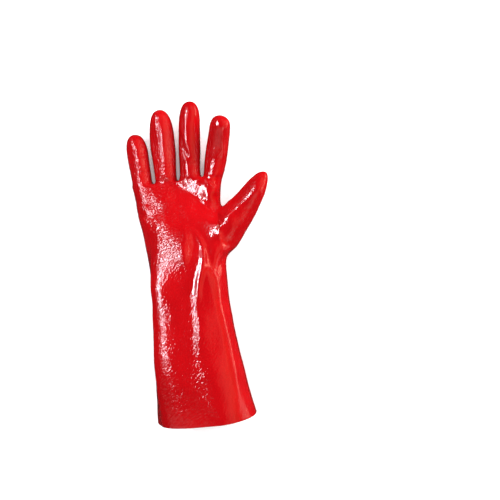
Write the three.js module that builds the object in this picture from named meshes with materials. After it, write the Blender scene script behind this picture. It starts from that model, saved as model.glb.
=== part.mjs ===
// A PVC coated gauntlet for the right hand, lying on its back with the palm up.
// The knitted liner is dipped on a hand-shaped former and the coat bonds to it all over, so the glove is
// one wall: an open sleeve that runs into the palm, four fingers and the thumb. Millimetres, +Z up, +Y
// towards the fingertips and +X towards the thumb. The origin is under the middle of the glove, on the
// surface that it lies on.
//
// A coarse cage of four-sided faces is laid out from the sizes below, smoothed once as a Catmull-Clark
// surface, raised and dented by the relief table, pressed flat where it rests, and given its thickness
// inwards.
import * as THREE from "three";

// Coat and liner together
const WALL = 1.5;

// Sleeve, from the wrist down to the cut edge of the cuff
const SLEEVE_LENGTH = 191;
const CUFF_WIDTH = 122;
const CUFF_DEPTH = 66;
const CUFF_SKEW = 1.8; // degrees that the cut runs out of square, longer below the thumb
const WRIST_WIDTH = 90;
const WRIST_DEPTH = 51;

// Palm, from the wrist up to the webs between the fingers
const PALM_LENGTH = 102;
const PALM_WIDTH = 112;
const PALM_DEPTH = 31;

// Fingers: width and depth at the thickest place, length from web to tip, and room, the share of the palm's
// width that the root takes. In degrees: lean towards the thumb's side at the root, sway further on the way
// to the tip, rise off the surface at the root and curl up further on the way to the tip.
const LITTLE = { width: 25.5, depth: 23, length: 61.5, room: 0.25, lean: -1, sway: 3, rise: 4, curl: 20 };
const RING = { width: 30, depth: 25, length: 86, room: 0.258, lean: 4, sway: 0, rise: 3, curl: 18 };
const MIDDLE = { width: 27, depth: 25, length: 92, room: 0.275, lean: 5, sway: 7, rise: 3, curl: 18 };
const INDEX = { width: 26.5, depth: 24, length: 78.5, room: 0.217, lean: 16.5, sway: 2, rise: 8, curl: 50 };
const FINGERS = [LITTLE, RING, MIDDLE, INDEX];
const FINGER_ROOT_DEPTH = 27;

// Thumb: it leaves the side of the palm between the wrist and the web beside the index finger
const THUMB = { width: 27.5, depth: 23, length: 90, lean: 43, sway: 0, rise: 9, curl: 6 };
const THUMB_ROOT_HEIGHT = 21;

// Folds and dents: the height of a full fold and how far it reaches to either side of its line
const FOLD_HEIGHT = 4;
const FOLD_REACH = 9;

// How far the glove's own weight presses its underside flat
const REST_PRESS = 1.5;

// Sections of the sleeve and palm. along: share of the sleeve's or palm's length, from the wrist. widen and
// deepen: share of the way from the wrist's width and depth to the cuff's or the palm's. lift: underside over
// the surface, as a share of the wrist's depth. shift: sideways, as a share of the wrist's width. fingered:
// how far it has turned from an oval into the row of finger roots.
const BODY_SECTIONS = [
  { part: "sleeve", along: 1.0, widen: 1.0, deepen: 1.0, lift: 0, shift: -0.018, fingered: 0 },
  { part: "sleeve", along: 0.95, widen: 0.92, deepen: 0.97, lift: 0, shift: -0.024, fingered: 0 },
  { part: "sleeve", along: 0.84, widen: 0.75, deepen: 0.9, lift: 0, shift: -0.03, fingered: 0 },
  { part: "sleeve", along: 0.72, widen: 0.59, deepen: 0.82, lift: 0, shift: -0.034, fingered: 0 },
  { part: "sleeve", along: 0.6, widen: 0.42, deepen: 0.72, lift: 0, shift: -0.032, fingered: 0 },
  { part: "sleeve", along: 0.48, widen: 0.25, deepen: 0.62, lift: 0, shift: -0.03, fingered: 0 },
  { part: "sleeve", along: 0.37, widen: 0.15, deepen: 0.5, lift: 0.005, shift: -0.024, fingered: 0 },
  { part: "sleeve", along: 0.27, widen: 0.07, deepen: 0.38, lift: 0.01, shift: -0.014, fingered: 0 },
  { part: "sleeve", along: 0.17, widen: 0.04, deepen: 0.22, lift: 0.02, shift: -0.008, fingered: 0 },
  { part: "sleeve", along: 0.08, widen: 0.04, deepen: 0.08, lift: 0.03, shift: 0, fingered: 0 },
  { part: "palm", along: 0.02, widen: 0.16, deepen: 0.0, lift: 0.035, shift: 0.005, fingered: 0 },
  { part: "palm", along: 0.16, widen: 0.2, deepen: 0.14, lift: 0.025, shift: -0.005, fingered: 0.05 },
  { part: "palm", along: 0.3, widen: 0.26, deepen: 0.3, lift: 0.015, shift: -0.006, fingered: 0.12 },
  { part: "palm", along: 0.43, widen: 0.32, deepen: 0.45, lift: 0.01, shift: -0.007, fingered: 0.25 },
  { part: "palm", along: 0.565, widen: 0.5, deepen: 0.62, lift: 0, shift: -0.014, fingered: 0.4 },
  { part: "palm", along: 0.68, widen: 0.54, deepen: 0.78, lift: 0, shift: -0.02, fingered: 0.6 },
  { part: "palm", along: 0.8, widen: 0.62, deepen: 0.92, lift: 0, shift: -0.014, fingered: 0.8 },
  { part: "palm", along: 0.89, widen: 0.75, deepen: 1.0, lift: 0, shift: -0.004, fingered: 0.92 },
  { part: "palm", along: 0.95, widen: 0.95, deepen: 1.0, lift: 0, shift: 0.002, fingered: 1 },
];

// Rows of the table above, counted from 0, between which the thumb leaves the palm
const THUMB_ROOT_FROM = 10;
const THUMB_ROOT_TO = 14;

// Sections of the fingers. along: share of the length. widths: share of the own width, little finger to
// index finger. body: share of the depth.
const FINGER_SECTIONS = [
  { along: 0.05, widths: [0.9, 0.82, 0.9, 0.88], body: 1.17 },
  { along: 0.17, widths: [0.94, 0.9, 0.94, 0.96], body: 1.1 },
  { along: 0.31, widths: [0.95, 0.95, 0.95, 1.0], body: 1.04 },
  { along: 0.46, widths: [0.98, 1.0, 0.99, 1.0], body: 1.0 },
  { along: 0.61, widths: [1.0, 0.98, 0.93, 0.97], body: 0.98 },
  { along: 0.76, widths: [0.94, 0.92, 0.92, 0.94], body: 0.93 },
  { along: 0.89, widths: [0.8, 0.78, 0.84, 0.88], body: 0.8 },
  { along: 0.98, widths: [0.5, 0.48, 0.54, 0.64], body: 0.5 },
];

// Sections of the thumb. girth and body: share of its width and depth. slant: how far the outer side lags
// behind the side at the web, as a share of the length. drift: sideways, as a share of the width.
const THUMB_SECTIONS = [
  { along: 0.14, slant: 0.25, girth: 1.5, body: 1.6, drift: 0.14 },
  { along: 0.27, slant: 0.12, girth: 1.37, body: 1.45, drift: 0.11 },
  { along: 0.42, slant: 0.05, girth: 1.25, body: 1.3, drift: 0.1 },
  { along: 0.56, slant: 0.02, girth: 1.09, body: 1.16, drift: 0.08 },
  { along: 0.69, slant: 0, girth: 0.93, body: 1.04, drift: 0.04 },
  { along: 0.82, slant: 0, girth: 0.77, body: 0.88, drift: 0.01 },
  { along: 0.93, slant: 0, girth: 0.52, body: 0.64, drift: -0.02 },
];

// Mounds, ridges and grooves, each a line over the skin: on the palm and inner arm, on the back, or on the
// palm side of a finger or the thumb. line: points as shares across and along. On the palm and back these are
// of half the palm's width and of the palm's length, or of the sleeve's length where along is under 0, and on
// a finger or the thumb of half its width and of its length. rise: share of a full fold's height, under 0 for
// a groove. reach: share of a full fold's reach.
const RELIEF = [
  { on: "palm", line: [[0.5, 0.5], [0.57, 0.3], [0.62, 0.12]], rise: 1.1, reach: 1.4 }, // thumb mound
  { on: "palm", line: [[-0.45, 0.42], [-0.3, 0.26], [-0.2, 0.05]], rise: 0.7, reach: 2.2 }, // heel mound
  { on: "palm", line: [[-0.25, 0.95], [0.23, 0.7], [0.72, 0.52]], rise: -0.9, reach: 1.1 }, // palm hollow
  { on: "palm", line: [[0.2, 1.02], [0.42, 0.87], [0.7, 0.7]], rise: 1.2, reach: 0.75 }, // big web fold
  { on: "palm", line: [[0.56, 0.97], [0.72, 0.84], [0.82, 0.66]], rise: -0.8, reach: 0.6 }, // web groove
  { on: "palm", line: [[-0.85, 0.69], [-0.62, 0.7], [-0.4, 0.77]], rise: 0.7, reach: 0.6 }, // edge fold
  { on: "palm", line: [[-0.95, 0.6], [-0.7, 0.61], [-0.5, 0.63]], rise: -0.8, reach: 0.5 }, // edge groove
  // Lower edge fold
  { on: "palm", line: [[-0.85, 0.55], [-0.65, 0.49], [-0.5, 0.4]], rise: 0.5, reach: 0.5 },
  { on: "palm", line: [[-0.5, 0.92], [-0.44, 0.76]], rise: 0.6, reach: 0.8 }, // pad under the ring finger
  {
    on: "palm",
    line: [[0.12, 0.36], [0.22, 0.13], [0.19, -0.05], [0.09, -0.2], [0.06, -0.3], [0.02, -0.5]],
    rise: 1.0,
    reach: 0.65,
  }, // ridge down the middle of the sleeve
  // Beside it
  { on: "palm", line: [[0.36, 0.36], [0.31, 0.1], [0.3, -0.08], [0.24, -0.3]], rise: -0.8, reach: 0.6 },
  // Side edge
  { on: "palm", line: [[0.38, 0.12], [0.42, -0.2], [0.56, -0.6], [0.64, -0.98]], rise: 0.6, reach: 0.8 },
  // Side hollow
  { on: "palm", line: [[0.6, 0.0], [0.7, -0.27], [0.76, -0.6], [0.8, -0.9]], rise: -0.7, reach: 0.8 },
  { on: "palm", line: [[-0.6, 0.05], [-0.7, -0.29], [-0.72, -0.5]], rise: 0.6, reach: 0.7 }, // left ridge
  // Left hollow
  { on: "palm", line: [[-0.3, -0.1], [-0.38, -0.5], [-0.55, -1.0]], rise: -0.7, reach: 1.6 },
  // Lip of the cuff
  { on: "palm", line: [[0.42, -1.1], [0.4, -0.9], [0.3, -0.7]], rise: 0.8, reach: 2.2 },
  // Ridge
  { on: THUMB, line: [[-0.7, 0.1], [-0.64, 0.3], [-0.25, 0.56], [0.2, 0.87]], rise: 0.8, reach: 0.6 },
  // Fold over the middle finger
  { on: MIDDLE, line: [[-0.5, 0.84], [-0.2, 0.45], [0.45, 0.2]], rise: 0.5, reach: 0.45 },
  // Groove beside it
  { on: MIDDLE, line: [[-0.8, 0.6], [-0.55, 0.35], [0.1, 0.12]], rise: -0.5, reach: 0.45 },
  // Back of the wrist
  { on: "back", line: [[-0.6, -0.03], [0.0, -0.09], [0.6, -0.02]], rise: -0.6, reach: 0.8 },
  { on: "back", line: [[-0.7, 0.8], [0.0, 0.86], [0.7, 0.8]], rise: 0.5, reach: 1.2 }, // knuckles
];

// Corners of a body section: the right one, nine over the palm, the left one and nine over the back
const SIDES = 20;

// An oval section: 1 is a true ellipse and less is squarer, above and underneath, and crowding moves corners
// closer together over the palm, in degrees
const OVAL = { above: 0.9, underneath: 0.78, crowding: 10 };

// A section through the row of finger roots, as shares of half its width and depth: the end walls, the crown
// of each root, the valleys between the roots, and the outermost edges
const ROW = { wall: 1.02, crown: 1.14, valley: 0.8, edge: 0.72, edgeInset: 0.95 };

// How far a web lies back from the last section, as a share of the palm's length, and how far a tip's corner
// lies past the end of a finger, which rounds off to its length
const WEB_DIP = 0.02;
const TIP_REACH = 1.03;

// Short steps that a finger's middle line is added up from
const BEND_STEPS = 24;

// The outer rim's cut bends further on its way down the sleeve, as this power of the way
const SKEW_POWER = 3;

// A finger curls mostly towards its tip, as this power of the way
const CURL_POWER = 1.5;

// How much of a fold shows where the skin turns away from the side that the fold is on
const FACING_FROM = -0.1;
const FACING_TO = 0.5;

const degrees = THREE.MathUtils.degToRad;
const mix = THREE.MathUtils.lerp;

// A spline's corners lie outside its curve by this share, so that a section of n corners comes out at its
// stated size
const cornerShare = (n) => 3 / (2 + Math.cos((2 * Math.PI) / n));

// Corner k of a body section where it is an oval
function ovalCorner(k, halfWidth, halfDepth) {
  const turn = (2 * Math.PI * k) / SIDES;
  const angle = turn + degrees(OVAL.crowding) * Math.sin(2 * turn);
  const squareness = angle > Math.PI ? OVAL.underneath : OVAL.above;
  const bend = (v) => Math.sign(v) * Math.abs(v) ** squareness * cornerShare(SIDES);
  return [bend(Math.cos(angle)) * halfWidth, bend(Math.sin(angle)) * halfDepth];
}

// Where the fingers' roots begin and end across the palm, as shares of half its width
const rootEdges = [-1];
const rooms = FINGERS.reduce((sum, finger) => sum + finger.room, 0);
for (const finger of FINGERS) rootEdges.push(rootEdges.at(-1) + (2 * finger.room) / rooms);

// Corner k of a body section where it is the row of finger roots: each root spans two faces over the palm and
// two over the back, and the skin dips between neighbouring roots
function rowCorner(k, halfWidth, halfDepth) {
  if (k === 0) return [ROW.wall * halfWidth, 0];
  if (k === SIDES / 2) return [-ROW.wall * halfWidth, 0];
  const overPalm = k < SIDES / 2;
  const step = overPalm ? SIDES / 2 - 1 - k : k - SIDES / 2 - 1;
  const height = overPalm ? halfDepth : -halfDepth;
  if (step % 2 === 1) {
    const crown = (rootEdges[(step - 1) / 2] + rootEdges[(step + 1) / 2]) / 2;
    return [crown * halfWidth, ROW.crown * height];
  }
  const outermost = step === 0 || step === 2 * FINGERS.length;
  const across = rootEdges[step / 2] * halfWidth;
  return outermost ? [across * ROW.edgeInset, ROW.edge * height] : [across, ROW.valley * height];
}

// Points, and faces as four point numbers each, outward side first
const cage = { points: [], faces: [] };
const addPoint = (point) => cage.points.push(point) - 1;

function addBodySection(section) {
  const onSleeve = section.part === "sleeve";
  const y = onSleeve ? -section.along * SLEEVE_LENGTH : section.along * PALM_LENGTH;
  const halfWidth = mix(WRIST_WIDTH, onSleeve ? CUFF_WIDTH : PALM_WIDTH, section.widen) / 2;
  const halfDepth = mix(WRIST_DEPTH, onSleeve ? CUFF_DEPTH : PALM_DEPTH, section.deepen) / 2;
  const middle = halfDepth + section.lift * WRIST_DEPTH - REST_PRESS;
  return Array.from({ length: SIDES }, (_, k) => {
    const oval = ovalCorner(k, halfWidth, halfDepth);
    const row = rowCorner(k, halfWidth, mix(halfDepth, FINGER_ROOT_DEPTH / 2, section.fingered));
    const x = mix(oval[0], row[0], section.fingered) + section.shift * WRIST_WIDTH;
    const skewed = onSleeve ? Math.tan(degrees(CUFF_SKEW)) * x * section.along ** SKEW_POWER : 0;
    return addPoint(new THREE.Vector3(x, y - skewed, middle + mix(oval[1], row[1], section.fingered)));
  });
}

// Two rings of corners joined by faces
function joinRings(from, to, leavesOut = () => false) {
  for (let k = 0; k < from.length; k++) {
    const next = (k + 1) % from.length;
    if (!leavesOut(k)) cage.faces.push([from[k], to[k], to[next], from[next]]);
  }
}

// Place and frame of a finger or the thumb at a share of its length, as it leans sideways and curls up
function digitFrame(digit, root, along) {
  const at = root.clone();
  const forward = new THREE.Vector3();
  for (let i = 0; i < BEND_STEPS; i++) {
    const share = (along * (i + 0.5)) / BEND_STEPS;
    const lean = degrees(digit.lean + digit.sway * share);
    const pitch = degrees(digit.rise + digit.curl * share ** CURL_POWER);
    forward.set(Math.sin(lean) * Math.cos(pitch), Math.cos(lean) * Math.cos(pitch), Math.sin(pitch));
    at.addScaledVector(forward, (along * digit.length) / BEND_STEPS);
  }
  const side = new THREE.Vector3(forward.y, -forward.x, 0).normalize();
  return { at, forward, side, up: new THREE.Vector3().crossVectors(side, forward) };
}

// A finger or the thumb, from its root's corners over its sections to a rounded tip
function addDigit(digit, root, rootRing, sections) {
  const sides = rootRing.length;
  let ring = rootRing;
  for (const { along, girth, body, slant = 0, drift = 0 } of sections) {
    const { at, forward, side, up } = digitFrame(digit, root, along);
    const next = rootRing.map((_, k) => {
      const angle = (2 * Math.PI * k) / sides;
      const across = (Math.cos(angle) * girth * cornerShare(sides)) / 2 + drift;
      const height = (Math.sin(angle) * digit.depth * body * cornerShare(sides)) / 2;
      const corner = at.clone().addScaledVector(side, across * digit.width).addScaledVector(up, height);
      return addPoint(corner.addScaledVector(forward, -Math.cos(angle) * slant * digit.length));
    });
    joinRings(ring, next);
    ring = next;
  }
  const tip = addPoint(digitFrame(digit, root, TIP_REACH).at);
  for (let k = 0; k < sides; k += 2) {
    cage.faces.push([tip, ring[k + 1], ring[k], ring[(k + sides - 1) % sides]]);
  }
}

function layOutCage() {
  const rings = BODY_SECTIONS.map(addBodySection);
  for (let i = 0; i + 1 < rings.length; i++) {
    const besideThumb = i >= THUMB_ROOT_FROM && i < THUMB_ROOT_TO;
    joinRings(rings[i], rings[i + 1], (k) => besideThumb && (k === 0 || k === SIDES - 1));
  }

  // Steps over the palm and under the back from the little finger's edge to the index finger's, and the
  // webs between
  const last = rings.at(-1);
  const over = (step) => last[SIDES / 2 - 1 - step];
  const under = (step) => last[SIDES / 2 + 1 + step];
  const between = (a, b) => cage.points[a].clone().lerp(cage.points[b], 0.5);
  const webs = FINGERS.slice(1).map((_, i) => {
    const web = between(over(2 * i + 2), under(2 * i + 2));
    web.y -= WEB_DIP * PALM_LENGTH;
    return addPoint(web);
  });
  const walls = [last[SIDES / 2], ...webs, last[0]];
  const fingerRoots = FINGERS.map((finger, i) => {
    const step = 2 * i;
    const root = between(over(step + 1), under(step + 1));
    const ring = [walls[i + 1], over(step + 2), over(step + 1), over(step), walls[i]];
    ring.push(under(step), under(step + 1), under(step + 2));
    const sections = FINGER_SECTIONS.map((row) => ({ ...row, girth: row.widths[i] }));
    addDigit(finger, root, ring, sections);
    return root;
  });

  // The thumb's root: from the wrist up along the palm side, over the web, and back along the other side
  const rootRows = rings.slice(THUMB_ROOT_FROM, THUMB_ROOT_TO + 1);
  const thumbRing = [rootRows[0][0], ...rootRows.map((ring) => ring[1]), rootRows.at(-1)[0]];
  thumbRing.push(...rootRows.map((ring) => ring[SIDES - 1]).reverse());
  const middle = cage.points[rootRows[rootRows.length >> 1][0]];
  const thumbRoot = new THREE.Vector3(middle.x, middle.y, THUMB_ROOT_HEIGHT);
  addDigit(THUMB, thumbRoot, thumbRing, THUMB_SECTIONS);
  return { fingerRoots, thumbRoot };
}

const edgeName = (a, b) => (a < b ? `${a} ${b}` : `${b} ${a}`);

// Every edge of the faces, with its two ends and the faces that it bounds
function edgesOf(faces) {
  const edges = new Map();
  faces.forEach((face, number) =>
    face.forEach((a, i) => {
      const b = face[(i + 1) % face.length];
      const name = edgeName(a, b);
      if (!edges.has(name)) edges.set(name, { ends: [a, b], faces: [] });
      edges.get(name).faces.push(number);
    }),
  );
  return edges;
}

function average(points) {
  const sum = new THREE.Vector3();
  for (const p of points) sum.add(p);
  return sum.divideScalar(points.length);
}

// One Catmull-Clark step: each face becomes four
function subdivide({ points, faces }) {
  const edges = edgesOf(faces);
  const made = points.map(() => new THREE.Vector3());
  const centres = faces.map((face) => average(face.map((i) => points[i])));
  const centreAt = centres.map((c) => made.push(c) - 1);
  const edgeAt = new Map();
  const around = points.map(() => ({ middles: [], centres: [], rim: [] }));
  for (const [name, { ends, faces: beside }] of edges) {
    const corners = ends.map((i) => points[i]);
    const middle = average(corners);
    const onRim = beside.length === 1;
    const place = onRim ? middle.clone() : average([...corners, ...beside.map((f) => centres[f])]);
    edgeAt.set(name, made.push(place) - 1);
    for (const end of ends) around[end][onRim ? "rim" : "middles"].push(middle);
  }
  faces.forEach((face, f) => face.forEach((i) => around[i].centres.push(centres[f])));
  points.forEach((p, i) => {
    const { middles, centres: near, rim } = around[i];
    if (rim.length) {
      made[i].copy(p).add(average(rim)).multiplyScalar(0.5);
      return;
    }
    if (!near.length) return;
    const n = near.length;
    made[i].copy(p).multiplyScalar(n - 3).add(average(near)).addScaledVector(average(middles), 2);
    made[i].divideScalar(n);
  });
  const split = faces.flatMap((face, f) =>
    face.map((corner, i) => {
      const before = edgeName(face[(i + face.length - 1) % face.length], corner);
      const after = edgeName(corner, face[(i + 1) % face.length]);
      return [corner, edgeAt.get(after), centreAt[f], edgeAt.get(before)];
    }),
  );
  return { points: made, faces: split };
}

// Moves each point of a Catmull-Clark mesh to where endless further steps would take it
function settle({ points, faces }) {
  const beside = points.map(() => ({ edges: [], corners: [], rim: [] }));
  for (const { ends, faces: near } of edgesOf(faces).values()) {
    const list = near.length === 1 ? "rim" : "edges";
    beside[ends[0]][list].push(points[ends[1]]);
    beside[ends[1]][list].push(points[ends[0]]);
  }
  for (const face of faces) face.forEach((i, at) => beside[i].corners.push(points[face[(at + 2) % 4]]));
  const settled = points.map((p, i) => {
    const { edges, corners, rim } = beside[i];
    if (rim.length) return p.clone().multiplyScalar(4).add(rim[0]).add(rim[1]).divideScalar(6);
    const n = edges.length;
    if (!n) return p.clone();
    const sum = p.clone().multiplyScalar(n * n);
    for (const q of edges) sum.addScaledVector(q, 4);
    for (const q of corners) sum.add(q);
    return sum.divideScalar(n * (n + 5));
  });
  return { points: settled, faces };
}

function normalsOf({ points, faces }) {
  const normals = points.map(() => new THREE.Vector3());
  for (const [a, b, c, d] of faces) {
    const across = points[c].clone().sub(points[a]);
    const other = points[d].clone().sub(points[b]);
    const normal = across.cross(other);
    for (const i of [a, b, c, d]) normals[i].add(normal);
  }
  return normals.map((n) => (n.lengthSq() > 0 ? n.normalize() : n));
}

// The points of a relief line seen from above
function planLine({ on, line }, { fingerRoots, thumbRoot }) {
  if (on === "palm" || on === "back") {
    const length = (along) => (along < 0 ? SLEEVE_LENGTH : PALM_LENGTH);
    return line.map(([across, along]) => [(across * PALM_WIDTH) / 2, along * length(along)]);
  }
  const root = on === THUMB ? thumbRoot : fingerRoots[FINGERS.indexOf(on)];
  return line.map(([across, along]) => {
    const { at, side } = digitFrame(on, root, along);
    at.addScaledVector(side, (across * on.width) / 2);
    return [at.x, at.y];
  });
}

// Distance of a place seen from above to a line of points
function distanceTo(line, x, y) {
  let nearest = Infinity;
  for (let i = 0; i + 1 < line.length; i++) {
    const [[ax, ay], [bx, by]] = [line[i], line[i + 1]];
    const t = ((x - ax) * (bx - ax) + (y - ay) * (by - ay)) / ((bx - ax) ** 2 + (by - ay) ** 2);
    const share = THREE.MathUtils.clamp(t, 0, 1);
    nearest = Math.min(nearest, Math.hypot(x - mix(ax, bx, share), y - mix(ay, by, share)));
  }
  return nearest;
}

function raiseRelief(skin, roots) {
  const normals = normalsOf(skin);
  const folds = RELIEF.map((row) => ({ ...row, plan: planLine(row, roots) }));
  skin.points.forEach((point, i) => {
    let height = 0;
    for (const { on, plan, rise, reach } of folds) {
      const up = on === "back" ? -normals[i].z : normals[i].z;
      const facing = THREE.MathUtils.smoothstep(up, FACING_FROM, FACING_TO);
      if (!facing) continue;
      const away = distanceTo(plan, point.x, point.y) / (reach * FOLD_REACH);
      height += facing * rise * FOLD_HEIGHT * Math.exp(-away * away);
    }
    point.addScaledVector(normals[i], height);
  });
}

// The skin as a wall: the outer skin, the inner one and the cut edge of the cuff that joins them
function thicken({ points, faces }) {
  const normals = normalsOf({ points, faces });
  const onRim = [...edgesOf(faces).values()].filter((edge) => edge.faces.length === 1);
  const rim = onRim.map((edge) => edge.ends);
  for (const [a] of rim) normals[a].setY(0).normalize();
  const inner = points.map((p, i) => p.clone().addScaledVector(normals[i], -WALL));
  const positions = [...points, ...inner].flatMap((p) => p.toArray());
  const index = [];
  const inside = (i) => i + points.length;
  for (const [a, b, c, d] of faces) {
    const shortWay = points[a].distanceTo(points[c]) <= points[b].distanceTo(points[d]);
    const halves = shortWay ? [[a, b, c], [a, c, d]] : [[a, b, d], [b, c, d]];
    for (const [i, j, k] of halves) index.push(i, j, k, inside(i), inside(k), inside(j));
  }
  for (const [a, b] of rim) index.push(b, a, inside(a), b, inside(a), inside(b));
  const geometry = new THREE.BufferGeometry();
  geometry.setAttribute("position", new THREE.Float32BufferAttribute(positions, 3));
  geometry.setIndex(index);
  return geometry.toNonIndexed();
}

const roots = layOutCage();
const skin = settle(subdivide(cage));
raiseRelief(skin, roots);
for (const p of skin.points) p.z = Math.max(p.z, 0);

const shape = thicken(skin);
shape.computeVertexNormals();
shape.computeBoundingBox();
const { min, max } = shape.boundingBox;

const pvc = new THREE.MeshStandardMaterial({ color: 0xc8101c, roughness: 0.22, metalness: 0 });
const glove = new THREE.Mesh(shape, pvc);
glove.name = "glove";
glove.position.set(-(min.x + max.x) / 2, -(min.y + max.y) / 2, -min.z);

const part = new THREE.Group();
part.add(glove);

export default part;
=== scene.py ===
# A PVC coated gauntlet for the right hand, lying on its back, palm up, as its maker would finish it.
# The glove is one wall: a knitted cotton liner, pulled over a hand-shaped former and dipped in PVC, so
# that the coat shows outside and the knit inside. Its skin is laid out from the same sizes and sections
# as the solid that it stands for, then creased finely. Metres, +Z up, +Y towards the fingertips and +X
# towards the thumb.
import math
from collections import namedtuple

import bpy
import numpy as np
from mathutils import Matrix, Vector, noise


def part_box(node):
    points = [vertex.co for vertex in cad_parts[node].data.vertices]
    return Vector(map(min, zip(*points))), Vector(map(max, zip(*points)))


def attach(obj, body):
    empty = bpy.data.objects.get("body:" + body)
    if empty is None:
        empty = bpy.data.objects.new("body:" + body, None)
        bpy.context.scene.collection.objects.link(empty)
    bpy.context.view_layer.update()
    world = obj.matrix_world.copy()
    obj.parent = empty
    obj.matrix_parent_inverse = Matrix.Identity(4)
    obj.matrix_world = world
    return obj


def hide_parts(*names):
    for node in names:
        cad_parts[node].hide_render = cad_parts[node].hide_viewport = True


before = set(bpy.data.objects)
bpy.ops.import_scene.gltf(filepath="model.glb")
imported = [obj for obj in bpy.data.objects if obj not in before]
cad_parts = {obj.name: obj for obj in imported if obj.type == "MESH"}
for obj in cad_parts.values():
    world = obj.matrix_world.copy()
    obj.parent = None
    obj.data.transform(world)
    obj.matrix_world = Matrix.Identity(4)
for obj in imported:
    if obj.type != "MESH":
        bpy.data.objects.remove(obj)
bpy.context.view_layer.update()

# The box of the CAD model, and its node that the glove stands for
NODE = "glove"

# Coat and liner together, and how much of that is the coat
WALL = 0.0015
COAT_SHARE = 0.55

# Sleeve, from the wrist down to the cut edge of the cuff, and how many degrees the cut runs out of square
SLEEVE_LENGTH = 0.191
CUFF_WIDTH = 0.122
CUFF_DEPTH = 0.066
CUFF_SKEW = 1.8
WRIST_WIDTH = 0.090
WRIST_DEPTH = 0.051

# Palm, from the wrist up to the webs between the fingers
PALM_LENGTH = 0.102
PALM_WIDTH = 0.112
PALM_DEPTH = 0.031

# Fingers and thumb: width and depth at the thickest place, length from web to tip, and room, the share of
# the palm's width that the root takes. In degrees: lean at the root, sway further on the way to the tip,
# rise off the surface at the root and curl up further on the way to the tip.
Digit = namedtuple("Digit", "width depth length room lean sway rise curl")
LITTLE = Digit(0.0255, 0.023, 0.0615, 0.25, -1, 3, 4, 20)
RING = Digit(0.030, 0.025, 0.086, 0.258, 4, 0, 3, 18)
MIDDLE = Digit(0.027, 0.025, 0.092, 0.275, 5, 7, 3, 18)
INDEX = Digit(0.0265, 0.024, 0.0785, 0.217, 16.5, 2, 8, 50)
FINGERS = [LITTLE, RING, MIDDLE, INDEX]
THUMB = Digit(0.0275, 0.023, 0.090, 0, 43, 0, 9, 6)

# How deep the row of the fingers' roots is, and how high the middle of the thumb's root lies
FINGER_ROOT_DEPTH = 0.027
THUMB_ROOT_HEIGHT = 0.021

# A full fold's height, how far it reaches to either side of its line, and in how many reaches it ends
FOLD_HEIGHT = 0.004
FOLD_REACH = 0.009
FOLD_ENDS = 3.5

# A fold dies out where the skin turns to the side: how far up the skin faces where the fold is gone and
# where it is whole, as the height of the skin's normal
FOLD_FACING = (-0.1, 0.5)

# How far the glove's own weight presses its underside flat, and how softly the flat rounds off
REST_PRESS = 0.0015
REST_SOFTNESS = 0.0004

# Sections of the sleeve and palm, as in the solid: shares of the part's length, of the way from the
# wrist's width and depth to the cuff's or palm's, of the wrist's depth and width, and of the way from an
# oval to the finger roots
Section = namedtuple("Section", "part along widen deepen lift shift fingered")
BODY_SECTIONS = [
    Section("sleeve", 1.0, 1.0, 1.0, 0, -0.018, 0),
    Section("sleeve", 0.95, 0.92, 0.97, 0, -0.024, 0),
    Section("sleeve", 0.84, 0.75, 0.9, 0, -0.03, 0),
    Section("sleeve", 0.72, 0.59, 0.82, 0, -0.034, 0),
    Section("sleeve", 0.6, 0.42, 0.72, 0, -0.032, 0),
    Section("sleeve", 0.48, 0.25, 0.62, 0, -0.03, 0),
    Section("sleeve", 0.37, 0.15, 0.5, 0.005, -0.024, 0),
    Section("sleeve", 0.27, 0.07, 0.38, 0.01, -0.014, 0),
    Section("sleeve", 0.17, 0.04, 0.22, 0.02, -0.008, 0),
    Section("sleeve", 0.08, 0.04, 0.08, 0.03, 0, 0),
    Section("palm", 0.02, 0.16, 0.0, 0.035, 0.005, 0),
    Section("palm", 0.16, 0.2, 0.14, 0.025, -0.005, 0.05),
    Section("palm", 0.3, 0.26, 0.3, 0.015, -0.006, 0.12),
    Section("palm", 0.43, 0.32, 0.45, 0.01, -0.007, 0.25),
    Section("palm", 0.565, 0.5, 0.62, 0, -0.014, 0.4),
    Section("palm", 0.68, 0.54, 0.78, 0, -0.02, 0.6),
    Section("palm", 0.8, 0.62, 0.92, 0, -0.014, 0.8),
    Section("palm", 0.89, 0.75, 1.0, 0, -0.004, 0.92),
    Section("palm", 0.95, 0.95, 1.0, 0, 0.002, 1),
]

# The sections between which the side of the hand is open for the thumb's root
THUMB_ROOT_ROWS = (10, 14)

# Sections of the fingers: shares of the length, of the width, from little to index, and of the depth
FingerSection = namedtuple("FingerSection", "along widths body")
FINGER_SECTIONS = [
    FingerSection(0.05, (0.9, 0.82, 0.9, 0.88), 1.17),
    FingerSection(0.17, (0.94, 0.9, 0.94, 0.96), 1.1),
    FingerSection(0.31, (0.95, 0.95, 0.95, 1.0), 1.04),
    FingerSection(0.46, (0.98, 1.0, 0.99, 1.0), 1.0),
    FingerSection(0.61, (1.0, 0.98, 0.93, 0.97), 0.98),
    FingerSection(0.76, (0.94, 0.92, 0.92, 0.94), 0.93),
    FingerSection(0.89, (0.8, 0.78, 0.84, 0.88), 0.8),
    FingerSection(0.98, (0.5, 0.48, 0.54, 0.64), 0.5),
]

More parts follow.
